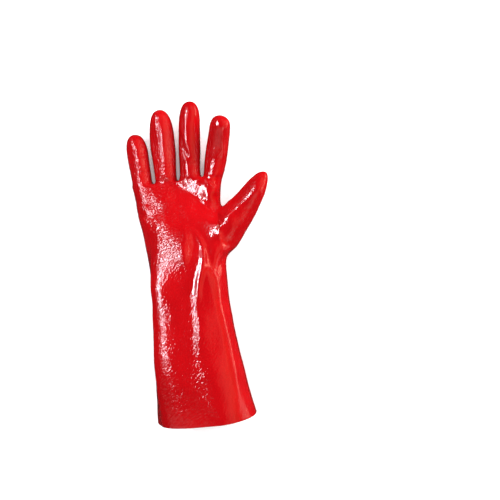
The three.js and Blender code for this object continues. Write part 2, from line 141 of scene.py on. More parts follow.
# Sections of the thumb: shares of its length, width (girth) and depth (body). slant is how far the outer
# side lags behind the web's, as a share of the length, and drift is a step to the side, of the width.
ThumbSection = namedtuple("ThumbSection", "along slant girth body drift")
THUMB_SECTIONS = [
    ThumbSection(0.14, 0.25, 1.5, 1.6, 0.14),
    ThumbSection(0.27, 0.12, 1.37, 1.45, 0.11),
    ThumbSection(0.42, 0.05, 1.25, 1.3, 0.1),
    ThumbSection(0.56, 0.02, 1.09, 1.16, 0.08),
    ThumbSection(0.69, 0, 0.93, 1.04, 0.04),
    ThumbSection(0.82, 0, 0.77, 0.88, 0.01),
    ThumbSection(0.93, 0, 0.52, 0.64, -0.02),
]

# Folds of the coat, each a line over the skin with a crest or, where rise is under 0, a groove. Points
# are shares across and along, of half the palm's width and of the palm's or sleeve's length, or of a
# digit's. rise is a share of a full fold's height. left and right are how far it reaches to either side,
# walking along its line, as shares of a full fold's reach. round is 2 for a rounded crest and near 1 for
# a creased one. fade is the shares of the line over which it dies out at its start and at its end.
Fold = namedtuple("Fold", "on line rise left right round fade", defaults=(2, (0, 0)))
FOLDS = [
    # Mounds and hollows of the hand
    Fold("palm", [(0.63, 0.5), (0.71, 0.3), (0.73, 0.12)], 0.9, 1.2, 1.7),
    Fold("palm", [(-0.28, 0.45), (-0.18, 0.3), (-0.08, 0.2)], 0.5, 1.7, 1.7),
    Fold(
        "palm",
        [(0.01, 0.53), (0.1, 0.3), (0.04, 0.12), (-0.04, -0.04)],
        1.05, 0.55, 1.7, 1.7, (0.35, 0.3),
    ),
    Fold(
        "palm",
        [(-0.48, 0.65), (-0.48, 0.52), (-0.49, 0.36), (-0.5, 0.2), (-0.56, 0.04)],
        0.4, 1.4, 0.6, 2, (0.3, 0.3),
    ),
    Fold("palm", [(-0.27, 0.96), (0.08, 0.88), (0.36, 0.74), (0.72, 0.56)], -0.8, 0.8, 1.3),
    Fold("palm", [(-0.5, 0.92), (-0.44, 0.76)], 0.35, 0.8, 0.8),
    # Folds from the middle finger's root down to the crook of the thumb
    Fold("palm", [(0.4, 0.99), (0.52, 0.94), (0.66, 0.86), (0.79, 0.71)], 0.7, 0.5, 1.3, 1.7, (0.35, 0.15)),
    Fold("palm", [(0.24, 0.99), (0.31, 0.9), (0.38, 0.81)], -0.2, 0.5, 0.6, 2, (0.2, 0.3)),
    Fold("palm", [(0.5, 1.0), (0.62, 0.9), (0.73, 0.78), (0.79, 0.66)], -0.15, 0.3, 0.3, 1.6, (0.3, 0.3)),
    Fold("palm", [(0.58, 1.0), (0.68, 0.9), (0.78, 0.8), (0.83, 0.67)], 0.22, 0.22, 0.22, 1.5, (0.3, 0.3)),
    Fold("palm", [(0.66, 1.01), (0.78, 0.89), (0.87, 0.73)], 0.25, 0.2, 0.2, 1.5, (0.3, 0.3)),
    Fold("palm", [(0.44, 0.72), (0.58, 0.66), (0.71, 0.59)], 0.2, 0.2, 0.22, 1.5, (0.4, 0.4)),
    # Folds at the edge of the hand, under the little finger
    Fold(
        "palm",
        [(-0.95, 0.76), (-0.8, 0.76), (-0.58, 0.74), (-0.42, 0.78)],
        -0.13, 0.5, 0.4, 1.8, (0, 0.4),
    ),
    Fold(
        "palm",
        [(-0.95, 0.67), (-0.69, 0.68), (-0.48, 0.72), (-0.28, 0.77), (-0.16, 0.78)],
        0.18, 0.4, 0.55, 1.7, (0, 0.5),
    ),
    Fold("palm", [(-0.95, 0.63), (-0.63, 0.59), (-0.36, 0.6)], -0.17, 0.5, 0.4, 1.8, (0, 0.5)),
    Fold(
        "palm",
        [(-0.95, 0.61), (-0.88, 0.58), (-0.72, 0.53), (-0.54, 0.5)],
        0.14, 0.35, 0.5, 1.7, (0, 0.5),
    ),
    # Ridge down the middle of the sleeve, creased at the wrist and soft below, and a hollow beside it
    Fold(
        "palm",
        [
            (0.19, 0.4), (0.32, 0.3), (0.4, 0.18), (0.4, 0.08), (0.37, 0),
            (0.31, -0.06), (0.24, -0.12), (0.19, -0.19), (0.18, -0.26),
        ],
        0.58, 0.3, 0.5, 1.8, (0.18, 0.2),
    ),
    Fold(
        "palm",
        [(0.15, -0.1), (0.15, -0.33), (0.12, -0.43), (0.08, -0.52), (0.1, -0.68)],
        0.55, 1.6, 0.6, 2, (0.35, 0.5),
    ),
    Fold("palm", [(0.1, 0.34), (0.12, 0.2), (0.1, 0.06), (0.04, -0.06)], -0.25, 0.6, 0.6, 2, (0.3, 0.4)),
    # Edges that part the flat facets of the sleeve
    Fold(
        "palm",
        [
            (0.42, 0.19), (0.4, 0), (0.43, -0.11), (0.48, -0.25),
            (0.53, -0.41), (0.57, -0.56), (0.62, -0.71), (0.63, -0.87),
        ],
        0.5, 1.1, 1.4, 1.2, (0.15, 0.4),
    ),
    Fold(
        "palm",
        [
            (0.58, -0.04), (0.59, -0.15), (0.6, -0.28), (0.66, -0.47),
            (0.71, -0.65), (0.71, -0.84), (0.7, -0.97),
        ],
        0.45, 0.9, 0.9, 1.2, (0.1, 0.2),
    ),
    Fold(
        "palm",
        [
            (-0.52, 0.42), (-0.62, 0.2), (-0.66, 0), (-0.66, -0.12), (-0.67, -0.23),
            (-0.72, -0.38), (-0.8, -0.63), (-0.88, -0.87), (-0.92, -1.05),
        ],
        1.7, 2.4, 0.5, 2, (0.35, 0.4),
    ),
    Fold("palm", [(-0.75, -0.4), (-0.8, -0.7), (-0.88, -1.05)], 0.9, 3.6, 0.6, 2, (0.5, 0.12)),
    Fold(
        "palm",
        [
            (-0.64, 0), (-0.66, -0.12), (-0.68, -0.22), (-0.75, -0.4),
            (-0.85, -0.63), (-0.94, -0.87), (-1.0, -1.05),
        ],
        0.7, 1.05, 0.5, 2, (0.2, 0.45),
    ),
    # Mound of the thumb, a hollow beside it, and hollows where it meets the wrist
    Fold("palm", [(0.75, 0.46), (0.73, 0.33), (0.67, 0.18)], 1.15, 0.35, 0.6, 1.6, (0.3, 0.3)),
    Fold("palm", [(0.87, 0.44), (0.82, 0.3), (0.76, 0.16)], 0.9, 1.1, 1.1),
    Fold("palm", [(0.86, 0.5), (0.79, 0.39), (0.72, 0.28), (0.65, 0.15)], -0.35, 0.3, 0.3, 1.6, (0.3, 0.3)),
    Fold("palm", [(0.46, 0.18), (0.51, 0.04), (0.53, -0.07)], -0.5, 0.4, 0.4, 1.6, (0.3, 0.3)),
    Fold("palm", [(0.97, 0.03), (0.8, 0.02), (0.67, -0.06), (0.56, -0.13)], -0.5, 0.5, 0.5, 1.6, (0, 0.4)),
    # Lip of the cuff
    Fold("palm", [(0.42, -1.1), (0.4, -0.9), (0.3, -0.7)], 0.8, 2.2, 2.2),
    # Thumb, folded to a ridge
    Fold(
        THUMB,
        [
            (0.5, 0.92), (0.22, 0.73), (0.02, 0.54), (-0.16, 0.38),
            (-0.33, 0.25), (-0.25, 0.12), (-0.08, 0), (0.15, -0.14),
        ],
        0.9, 1.2, 1.2, 1.1, (0.15, 0.15),
    ),
    # Flattened tops of the fingers
    Fold(LITTLE, [(0.2, 0.85), (0.24, 0.5), (0.2, 0.2)], 0.42, 0.5, 0.7, 1.6, (0.2, 0.3)),
    Fold(RING, [(0.22, 0.85), (0.2, 0.6), (0.15, 0.35), (0.1, 0.15)], 0.42, 0.5, 0.7, 1.6, (0.2, 0.3)),
    # Twist over the middle finger
    Fold(
        MIDDLE,
        [(-0.37, 0.85), (-0.25, 0.69), (-0.34, 0.56), (-0.17, 0.44), (0.17, 0.34), (0.57, 0.25)],
        0.4, 0.9, 0.35, 1.3, (0.2, 0.3),
    ),
    Fold(
        MIDDLE,
        [(-0.75, 0.63), (-0.65, 0.5), (-0.37, 0.38), (0.06, 0.25)],
        -0.4, 0.35, 0.35, 1.6, (0.3, 0.3),
    ),
    Fold(MIDDLE, [(-0.66, 0.39), (-0.39, 0.3), (-0.05, 0.19)], 0.2, 0.2, 0.25, 1.5, (0.3, 0.3)),
    Fold(MIDDLE, [(0.04, 0.17), (0.31, 0.2), (0.65, 0.21)], -0.25, 0.3, 0.3, 1.6, (0.3, 0.3)),
    # Flat on the index finger
    Fold(INDEX, [(-0.6, 0.9), (-0.58, 0.6), (-0.45, 0.37), (-0.24, 0.17)], 0.3, 0.5, 0.25, 1.6, (0.2, 0.4)),
    Fold(INDEX, [(0.1, 0.9), (0.4, 0.58), (0.63, 0.4), (0.63, 0.2)], 0.25, 0.5, 0.5, 1.2, (0.2, 0.3)),
    # Back of the hand
    Fold("back", [(-0.6, -0.03), (0.0, -0.09), (0.6, -0.02)], -0.6, 0.8, 0.8),
    Fold("back", [(-0.7, 0.8), (0.0, 0.86), (0.7, 0.8)], 0.5, 1.2, 1.2),
]

# Unevenness of the dipped coat: each size of swell's wave length, its height, and where its noise starts
Swell = namedtuple("Swell", "length height seed")
SWELLS = [
    Swell(0.030, 0.00055, 3.0),
    Swell(0.011, 0.00018, 17.0),
    Swell(0.0055, 0.00007, 29.0),
]

# How strongly the knit prints through the coat, as shares of its full relief: everywhere, and how much
# more or less beside lines that are given as for folds, within a reach in metres
PEBBLED = 0.4
Pebbling = namedtuple("Pebbling", "on line more reach")
PEBBLINGS = [
    Pebbling("palm", [(-0.4, 0.62), (-0.3, 0.4), (-0.15, 0.12)], 0.6, 0.024),
    Pebbling("palm", [(-0.85, 0.9), (-0.6, 0.7), (-0.2, 0.7)], 0.3, 0.014),
    Pebbling("palm", [(-0.7, 0.1), (-0.8, -0.3), (-1.0, -1.0)], 0.2, 0.014),
    Pebbling("palm", [(0.15, -0.24), (0.1, -0.5), (0.1, -0.8)], 0.25, 0.012),
    Pebbling("palm", [(0.28, 0.28), (0.38, 0.1), (0.2, -0.13)], -0.4, 0.008),
    Pebbling("palm", [(0.25, 0.97), (0.5, 0.9), (0.72, 0.75)], -0.3, 0.012),
    Pebbling("palm", [(0.75, 0.46), (0.73, 0.33), (0.67, 0.18)], -0.15, 0.009),
    Pebbling("palm", [(0.6, 0.1), (0.7, -0.3), (0.85, -1.0)], -0.15, 0.03),
    Pebbling(LITTLE, [(0, 1), (0, 0)], 0.5, 0.014),
    Pebbling(RING, [(0, 1), (0, 0)], 0.55, 0.016),
    Pebbling(MIDDLE, [(0.2, 0.3), (0.1, 0)], 0.3, 0.012),
    Pebbling(INDEX, [(0, 1), (0, 0)], 0.1, 0.014),
]

# Corners around a section of the sleeve or palm, and how many times the cage is halved to smooth it
SIDES = 20
SMOOTHINGS = 3

# Ovals: how square they are over the palm and underneath, where 1 is an ellipse and less is squarer, and
# how far their corners crowd towards the top and the underside
OVAL_ABOVE = 0.9
OVAL_UNDERNEATH = 0.78
OVAL_CROWDING = math.radians(10)

# The row of finger roots, as shares of half its width or depth: how far out its end walls stand, how high
# its crowns and valleys are, and how high and how far out the valleys at its two ends are
ROW_WALL = 1.02
ROW_CROWN = 1.14
ROW_VALLEY = 0.8
ROW_EDGE = 0.72
ROW_EDGE_INSET = 0.95

# How far the webs lie back from that row, as a share of the palm's length
WEB_DIP = 0.02

# Digits: steps in which their bend is worked out, how late they curl, where 1 is evenly and more is
# nearer the tip, the way round them as a multiple of their width and depth together, and the share of
# their length at which the cage's tip stands
BEND_STEPS = 24
CURL_LATENESS = 1.5
DIGIT_GIRTH = 1.6
TIP_REACH = 1.03


def mix(a, b, share):
    """What lies at a share of the way from a to b"""
    return a + (b - a) * share


def smooth_step(x, low, high):
    """0 up to low and 1 from high, with a soft rise between them"""
    t = np.clip((x - low) / (high - low), 0, 1)
    return t * t * (3 - 2 * t)


def corner_share(n):
    """How far a spline's corners lie outside its curve, for a section of n corners"""
    return 3 / (2 + math.cos(2 * math.pi / n))


def oval_corner(k, half_width, half_depth):
    """Corner k of an oval section, from the thumb's side over the palm and back underneath"""
    turn = 2 * math.pi * k / SIDES
    angle = turn + OVAL_CROWDING * math.sin(2 * turn)
    squareness = OVAL_UNDERNEATH if angle > math.pi else OVAL_ABOVE

    def bend(v):
        return math.copysign(abs(v) ** squareness, v) * corner_share(SIDES)

    return bend(math.cos(angle)) * half_width, bend(math.sin(angle)) * half_depth


def root_edges():
    """Where the fingers' roots begin and end across the palm, as shares of half its width"""
    rooms = sum(finger.room for finger in FINGERS)
    edges = [-1]
    for finger in FINGERS:
        edges.append(edges[-1] + 2 * finger.room / rooms)
    return edges


def row_corner(k, half_width, half_depth):
    """Corner k of a section through the row of finger roots"""
    if k == 0:
        return ROW_WALL * half_width, 0
    if k == SIDES // 2:
        return -ROW_WALL * half_width, 0
    over_palm = k < SIDES // 2
    step = SIDES // 2 - 1 - k if over_palm else k - SIDES // 2 - 1
    height = half_depth if over_palm else -half_depth
    edges = root_edges()
    if step % 2 == 1:
        crown = (edges[(step - 1) // 2] + edges[(step + 1) // 2]) / 2
        return crown * half_width, ROW_CROWN * height
    across = edges[step // 2] * half_width
    if step in (0, 2 * len(FINGERS)):
        return across * ROW_EDGE_INSET, ROW_EDGE * height
    return across, ROW_VALLEY * height


class Cage:
    """Corners, four-sided faces that look outwards, and each face corner's place on the knit in metres"""

    def __init__(self):
        self.points = []
        self.faces = []
        self.knit = []

    def point(self, place):
        self.points.append(Vector(place))
        return len(self.points) - 1

    def face(self, corners, knit):
        self.faces.append(corners)
        self.knit.extend(knit)

    def join(self, start, end, stitch, low, high, leaves_out=()):
        """Faces between two rings, with the knit's columns a stitch apart and its rows from low to high"""
        n = len(start)
        for k in range(n):
            if k in leaves_out:
                continue
            after = (k + 1) % n
            left, right = k * stitch, (k + 1) * stitch
            knit = [(left, low), (left, high), (right, high), (right, low)]
            self.face([start[k], end[k], end[after], start[after]], knit)


def section_place(section):
    """How far up the glove a section lies, from the wrist"""
    return -section.along * SLEEVE_LENGTH if section.part == "sleeve" else section.along * PALM_LENGTH


def add_body_section(cage, section):
    """The ring of corners of one section of the sleeve or palm"""
    on_sleeve = section.part == "sleeve"
    y = section_place(section)
    half_width = mix(WRIST_WIDTH, CUFF_WIDTH if on_sleeve else PALM_WIDTH, section.widen) / 2
    half_depth = mix(WRIST_DEPTH, CUFF_DEPTH if on_sleeve else PALM_DEPTH, section.deepen) / 2
    middle = half_depth + section.lift * WRIST_DEPTH - REST_PRESS
    ring = []
    for k in range(SIDES):
        oval = oval_corner(k, half_width, half_depth)
        row = row_corner(k, half_width, mix(half_depth, FINGER_ROOT_DEPTH / 2, section.fingered))
        x = mix(oval[0], row[0], section.fingered) + section.shift * WRIST_WIDTH
        # The cut's skew dies out up the sleeve
        skewed = math.tan(math.radians(CUFF_SKEW)) * x * section.along**3 if on_sleeve else 0
        ring.append(cage.point((x, y - skewed, middle + mix(oval[1], row[1], section.fingered))))
    return ring


def digit_frame(digit, root, along):
    """Place and frame of a finger or the thumb at a share of its length"""
    at = Vector(root)
    forward = Vector((0, 1, 0))
    for i in range(BEND_STEPS):
        share = along * (i + 0.5) / BEND_STEPS
        lean = math.radians(digit.lean + digit.sway * share)
        pitch = math.radians(digit.rise + digit.curl * max(share, 0) ** CURL_LATENESS)
        flat = math.cos(pitch)
        forward = Vector((math.sin(lean) * flat, math.cos(lean) * flat, math.sin(pitch)))
        at += forward * (along * digit.length / BEND_STEPS)
    side = Vector((forward.y, -forward.x, 0)).normalized()
    return at, forward, side, side.cross(forward)


def add_digit(cage, digit, root, root_ring, sections):
    """A finger or the thumb, from its root's corners over its sections to a rounded tip"""
    sides = len(root_ring)
    stitch = DIGIT_GIRTH * (digit.width + digit.depth) / sides
    base = root.y
    ring, low = root_ring, base
    for along, girth, body, slant, drift in sections:
        at, forward, side, up = digit_frame(digit, root, along)
        ahead = []
        for k in range(sides):
            angle = 2 * math.pi * k / sides
            across = math.cos(angle) * girth * corner_share(sides) / 2 + drift
            height = math.sin(angle) * digit.depth * body * corner_share(sides) / 2
            corner = at + side * (across * digit.width) + up * height
            ahead.append(cage.point(corner - forward * (math.cos(angle) * slant * digit.length)))
        high = base + along * digit.length
        cage.join(ring, ahead, stitch, low, high)
        ring, low = ahead, high
    tip = cage.point(digit_frame(digit, root, TIP_REACH)[0])
    high = base + digit.length
    # Each face at the tip takes in two stretches of the last ring
    for k in range(0, sides, 2):
        knit = [(k * stitch, high), ((k + 1) * stitch, low), (k * stitch, low), ((k - 1) * stitch, low)]
        cage.face([tip, ring[k + 1], ring[k], ring[k - 1]], knit)


def add_sleeve_and_palm(cage):
    """The sleeve and palm, and the rings of corners of their sections"""
    rings = [add_body_section(cage, section) for section in BODY_SECTIONS]
    stitch = math.pi * (CUFF_WIDTH + CUFF_DEPTH) / 2 / SIDES
    first, last = THUMB_ROOT_ROWS
    for i in range(len(rings) - 1):
        low, high = section_place(BODY_SECTIONS[i]), section_place(BODY_SECTIONS[i + 1])
        open_to_thumb = (0, SIDES - 1) if first <= i < last else ()
        cage.join(rings[i], rings[i + 1], stitch, low, high, open_to_thumb)
    return rings


def add_fingers(cage, row):
    """The four fingers on the row of corners at their roots, and the place of each root"""
    half = SIDES // 2

    def over(step):
        return row[half - 1 - step]

    def under(step):
        return row[(half + 1 + step) % SIDES]

    def between(step):
        return (cage.points[over(step)] + cage.points[under(step)]) / 2

    # What the roots share at their sides: the edge of the hand, the three webs and the side of the thumb
    walls = [row[half]]
    for i in range(1, len(FINGERS)):
        web = between(2 * i)
        web.y -= WEB_DIP * PALM_LENGTH
        walls.append(cage.point(web))
    walls.append(row[0])
    roots = {}
    for i, finger in enumerate(FINGERS):
        step = 2 * i
        ring = [walls[i + 1], over(step + 2), over(step + 1), over(step), walls[i]]
        ring += [under(step), under(step + 1), under(step + 2)]
        sections = [(section.along, section.widths[i], section.body, 0, 0) for section in FINGER_SECTIONS]
        roots[finger] = between(step + 1)
        add_digit(cage, finger, roots[finger], ring, sections)
    return roots


def add_thumb(cage, rings):
    """The thumb on the opening in the side of the hand, and the place of its root"""
    first, last = THUMB_ROOT_ROWS
    rows = rings[first : last + 1]
    over = [row[1] for row in rows]
    under = [row[SIDES - 1] for row in reversed(rows)]
    ring = [rows[0][0]] + over + [rows[-1][0]] + under
    middle = cage.points[rows[len(rows) // 2][0]]
    root = Vector((middle.x, middle.y, THUMB_ROOT_HEIGHT))
    sections = [(row.along, row.girth, row.body, row.slant, row.drift) for row in THUMB_SECTIONS]
    add_digit(cage, THUMB, root, ring, sections)
    return root


def lay_out_cage():
    """The whole skin's corners and faces, with the roots of the digits"""
    cage = Cage()
    rings = add_sleeve_and_palm(cage)
    roots = add_fingers(cage, rings[-1])
    roots[THUMB] = add_thumb(cage, rings)
    return cage, roots


def smooth_skin(cage):
    """The cage as a smooth fine skin: places, faces and knit places as arrays"""
    mesh = bpy.data.meshes.new("cage")
    mesh.from_pydata([tuple(p) for p in cage.points], [], cage.faces)
    knit = mesh.uv_layers.new(name="knit")
    knit.data.foreach_set("uv", np.array(cage.knit, np.float32).ravel())
    holder = bpy.data.objects.new("cage", mesh)
    bpy.context.scene.collection.objects.link(holder)
    smoothing = holder.modifiers.new("smooth", "SUBSURF")
    smoothing.levels = SMOOTHINGS
    smoothing.render_levels = SMOOTHINGS
    fine = bpy.data.meshes.new_from_object(holder.evaluated_get(bpy.context.evaluated_depsgraph_get()))
    places = np.empty(len(fine.vertices) * 3, np.float32)
    fine.vertices.foreach_get("co", places)
    faces = np.empty(len(fine.loops), np.int32)
    fine.loops.foreach_get("vertex_index", faces)
    knit_places = np.empty(len(fine.loops) * 2, np.float32)
    fine.uv_layers[0].data.foreach_get("uv", knit_places)
    bpy.data.objects.remove(holder)
    bpy.data.meshes.remove(mesh)
    bpy.data.meshes.remove(fine)
    return places.reshape(-1, 3).astype(float), faces.reshape(-1, 4), knit_places.reshape(-1, 4, 2)


def normals_of(places, faces):
    """Outward directions at every place of a four-sided mesh"""
    a, b, c, d = (places[faces[:, i]] for i in range(4))
    per_face = np.cross(c - a, d - b)
    normals = np.zeros_like(places)
    for i in range(4):
        np.add.at(normals, faces[:, i], per_face)
    # A place on no face has no direction, and the least length keeps it from being divided by 0
    least = 1e-12
    return normals / np.maximum(np.linalg.norm(normals, axis=1, keepdims=True), least)


def spline(points, steps=8):
    """A smooth line through a fold's points, seen from above, in so many steps from each to the next"""
    given = np.array(points, float)
    extended = np.vstack([2 * given[0] - given[1], given, 2 * given[-1] - given[-2]])
    line = []
    for i in range(1, len(extended) - 2):
        a, b, c, d = extended[i - 1 : i + 3]
        for t in np.arange(steps) / steps:
            run = (c - a) * t
            bow = (2 * a - 5 * b + 4 * c - d) * t**2
            sway = (3 * b - a - 3 * c + d) * t**3
            line.append(0.5 * (2 * b + run + bow + sway))
    return np.array(line + [given[-1]])


def plan_line(fold, roots):
    """The points of a fold's line seen from above"""
    if isinstance(fold.on, str):
        return [(x * PALM_WIDTH / 2, y * (SLEEVE_LENGTH if y < 0 else PALM_LENGTH)) for x, y in fold.line]
    points = []
    for across, along in fold.line:
        at, _, side, _ = digit_frame(fold.on, roots[fold.on], along)
        points.append((at + side * (across * fold.on.width / 2)).xy)
    return points


# How gradually the share along a fold's line passes from one of its parts to the next
PART_BLEND = 0.0015


def beside(line, places):
    """Signed distance from places seen from above to a line, over 0 on its left, and the share along it"""
    nearest = np.full(len(places), np.inf)
    signed = np.zeros(len(places))
    distances, shares = [], []
    for i in range(len(line) - 1):
        a, b = line[i], line[i + 1]
        ab = b - a
        off = places - a
        t = np.clip(off @ ab / (ab @ ab), 0, 1)
        gap = off - t[:, None] * ab
        distance = np.hypot(gap[:, 0], gap[:, 1])
        closer = distance < nearest
        turn = ab[0] * off[:, 1] - ab[1] * off[:, 0]
        nearest[closer] = distance[closer]
        signed[closer] = np.where(turn > 0, distance, -distance)[closer]
        distances.append(distance)
        shares.append((i + t) / (len(line) - 1))
    weights = np.exp((nearest - np.array(distances)) / PART_BLEND)
    return signed, (weights * shares).sum(axis=0) / weights.sum(axis=0)


def fold_heights(places, normals, roots):
    """How far each place rises along its normal for all the folds together"""
    height = np.zeros(len(places))
    for fold in FOLDS:
        line = spline(plan_line(fold, roots))
        margin = FOLD_ENDS * FOLD_REACH * max(fold.left, fold.right)
        low, high = line.min(axis=0) - margin, line.max(axis=0) + margin
        near = ((places[:, :2] > low) & (places[:, :2] < high)).all(axis=1)
        up = -1 if fold.on == "back" else 1
        facing = smooth_step(up * normals[near, 2], *FOLD_FACING)
        signed, share = beside(line, places[near, :2])
        reach = np.where(signed > 0, fold.left, fold.right) * FOLD_REACH
        crest = np.exp(-((np.abs(signed) / reach) ** fold.round))
        start, end = fold.fade
        if start:
            crest *= smooth_step(share, 0, start)
        if end:
            crest *= smooth_step(1 - share, 0, end)
        height[near] += facing * fold.rise * FOLD_HEIGHT * crest
    return height


def swell_heights(places):
    """The dipped coat's unevenness, in waves of a few sizes"""
    height = np.zeros(len(places))
    for swell in SWELLS:
        shift = Vector((swell.seed, swell.seed * 2, swell.seed * 3))
        waves = [noise.noise(Vector(p) / swell.length + shift) for p in places]
        height += swell.height * np.array(waves)
    return height


def pebbled_shares(places, roots):
    """How strongly the knit prints through the coat at each place"""
    shares = np.full(len(places), PEBBLED)
    for pebbling in PEBBLINGS:
        signed, _ = beside(spline(plan_line(pebbling, roots)), places[:, :2])
        shares += pebbling.more * np.exp(-((signed / pebbling.reach) ** 2))
    return np.clip(shares, 0, 1)


def press_flat(places):
    """Lays what would be below the ground flat on it"""
    pressed = places.copy()
    height = places[:, 2]
    pressed[:, 2] = (height + np.sqrt(height**2 + REST_SOFTNESS**2)) / 2
    return pressed


def shape_skin():
    """The finished outer skin, and how pebbled it is"""
    cage, roots = lay_out_cage()
    places, faces, knit = smooth_skin(cage)
    normals = normals_of(places, faces)
    places = places + normals * fold_heights(places, normals, roots)[:, None]
    normals = normals_of(places, faces)
    places = press_flat(places + normals * swell_heights(places)[:, None])
    return seat_on_node(places), faces, knit, pebbled_shares(places, roots)


def seat_on_node(places):
    """Moves the skin to the middle of the node that it stands for"""
    low, high = (np.array(corner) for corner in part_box(NODE))
    shift = (low + high) / 2 - (places.min(axis=0) + places.max(axis=0)) / 2
    shift[2] = low[2] - places[:, 2].min()
    return places + shift


def rim_edges(faces):
    """The edges of the cuff's opening, each in the direction of the one face that it bounds"""
    edges = np.concatenate([faces[:, [i, (i + 1) % 4]] for i in range(4)])
    either_way = np.sort(edges, axis=1)
    _, first, count = np.unique(either_way, axis=0, return_index=True, return_counts=True)
    return edges[first[count == 1]]


# Rows across the cuff's cut edge, from coat to liner: share of the wall and how far each stands out
CutRow = namedtuple("CutRow", "share bulge")
CUT_ROWS = [CutRow(0.15, 0.00018), CutRow(COAT_SHARE, 0.00024), CutRow(0.88, 0.0002)]

# The glove's two materials, by their order in its mesh
COAT = 0
LINER = 1


def thicken(places, faces, knit):
    """The skin as a wall: outer and inner skins and the cut edge between them, and each face's material"""
    normals = normals_of(places, faces)
    rim = rim_edges(faces)
    ends = np.unique(rim)
    # The wall at the rim is measured square to the sleeve, which keeps the cut edge level
    normals[ends, 1] = 0
    normals[ends] /= np.linalg.norm(normals[ends], axis=1, keepdims=True)
    inner = places - normals * WALL
    count = len(places)
    rows = []
    for row in CUT_ROWS:
        cut = mix(places[ends], inner[ends], row.share)
        cut[:, 1] -= row.bulge
        rows.append(cut)
    number = {end: i for i, end in enumerate(ends)}
    points = np.vstack([places, inner] + rows)
    quads = [list(face) for face in faces] + [list(face[::-1] + count) for face in faces]
    coat_or_liner = [COAT] * len(faces) + [LINER] * len(faces)
    knit_places = np.concatenate([knit, knit[:, ::-1]]).reshape(-1, 2).tolist()

    def rim_point(end, level):
        if level == 0:
            return end
        if level > len(CUT_ROWS):
            return end + count
        return 2 * count + (level - 1) * len(ends) + number[end]

    coat_levels = sum(row.share <= COAT_SHARE for row in CUT_ROWS)
    for a, b in rim:
        for level in range(len(CUT_ROWS) + 1):
            near_coat = [rim_point(b, level), rim_point(a, level)]
            near_liner = [rim_point(a, level + 1), rim_point(b, level + 1)]
            quads.append(near_coat + near_liner)
            coat_or_liner.append(COAT if level < coat_levels else LINER)
            knit_places.extend([(0, 0)] * 4)
    return points, quads, coat_or_liner, knit_places


def colour(hex_value):
    """An sRGB hex colour as linear light"""
    channels = [int(hex_value[i : i + 2], 16) / 255 for i in (0, 2, 4)]
    return tuple(c / 12.92 if c <= 0.04045 else ((c + 0.055) / 1.055) ** 2.4 for c in channels) + (1.0,)


def add_node(tree, kind, inputs=None, **settings):
    """A node with its settings, its input values and the sockets that feed it"""
    node = tree.nodes.new(kind)
    for name, value in settings.items():
        setattr(node, name, value)
    for name, value in (inputs or {}).items():
        if isinstance(value, bpy.types.NodeSocket):
            tree.links.new(value, node.inputs[name])
        else:
            node.inputs[name].default_value = value
    return node


def new_material(name):
    """A material without nodes, and the tree for them"""
    material = bpy.data.materials.new(name)
    material.use_nodes = True
    tree = material.node_tree
    tree.nodes.clear()
    return material, tree


# Real sizes: a stitch of the liner, a pebble of the coat across and along its grain, which way that grain
# runs, the coat's fine creases, and its deeper and paler patches. The pebbles are the print of the
# stitches, drawn a little coarser than the real ones so that they show.
STITCH = 0.0016
PEBBLE = (0.0015, 0.0039)
PEBBLE_SLANT = math.radians(-52)
CREASE = 0.006
PATCH = 0.045

# How high a pebble, a crease and a loop of the knit stand
PEBBLE_RELIEF = 0.0008
CREASE_RELIEF = 0.0002
LOOP_RELIEF = 0.0005


def dipped_pvc():
    """Plasticised PVC, dipped: opaque, deep red and glossy, over the pebbled print of the knit beneath it"""
    material, tree = new_material("dipped_red_pvc")
    place = add_node(tree, "ShaderNodeTexCoord").outputs["Object"]
    patches = add_node(tree, "ShaderNodeTexNoise", {"Vector": place, "Scale": 1 / PATCH, "Detail": 2.0})
    across, along = PEBBLE
    slanted = add_node(
        tree,
        "ShaderNodeMapping",
        {"Vector": place, "Rotation": (0, 0, PEBBLE_SLANT), "Scale": (across, along, across)},
        vector_type="TEXTURE",
    )
    pebbles = add_node(
        tree,
        "ShaderNodeTexNoise",
        {"Vector": slanted.outputs["Vector"], "Scale": 1.0, "Detail": 1.0},
    )
    pebbled = add_node(tree, "ShaderNodeAttribute", attribute_name="pebbled")
    relief = add_node(
        tree,
        "ShaderNodeMath",
        {0: pebbles.outputs["Fac"], 1: pebbled.outputs["Fac"]},
        operation="MULTIPLY",
    )
    creases = add_node(
        tree,
        "ShaderNodeTexNoise",
        {"Vector": place, "Scale": 1 / CREASE, "Detail": 2.0, "Distortion": 0.6},
    )
    tint = add_node(tree, "ShaderNodeValToRGB", {"Fac": patches.outputs["Fac"]})
    tint.color_ramp.elements[0].position = 0.3
    tint.color_ramp.elements[0].color = colour("A8050B")
    tint.color_ramp.elements[1].position = 0.7
    tint.color_ramp.elements[1].color = colour("B8060D")
    gloss = add_node(
        tree,
        "ShaderNodeMapRange",
        {"Value": patches.outputs["Fac"], "From Min": 0.35, "From Max": 0.7, "To Min": 0.1, "To Max": 0.16},
    )
    low = add_node(
        tree,
        "ShaderNodeBump",
        {"Height": creases.outputs["Fac"], "Strength": 1.0, "Distance": CREASE_RELIEF},
    )
    fine = add_node(
        tree,
        "ShaderNodeBump",
        {
            "Height": relief.outputs["Value"],
            "Strength": 1.0,
            "Distance": PEBBLE_RELIEF,
            "Normal": low.outputs["Normal"],
        },
    )
    skin = add_node(
        tree,
        "ShaderNodeBsdfPrincipled",
        {
            "Base Color": tint.outputs["Color"],
            "Roughness": gloss.outputs["Result"],
            "IOR": 1.53,
            "Coat Weight": 1.0,
            "Coat Roughness": 0.06,
            "Normal": fine.outputs["Normal"],
            "Coat Normal": fine.outputs["Normal"],
        },
    )
    add_node(tree, "ShaderNodeOutputMaterial", {"Surface": skin.outputs["BSDF"]})
    return material


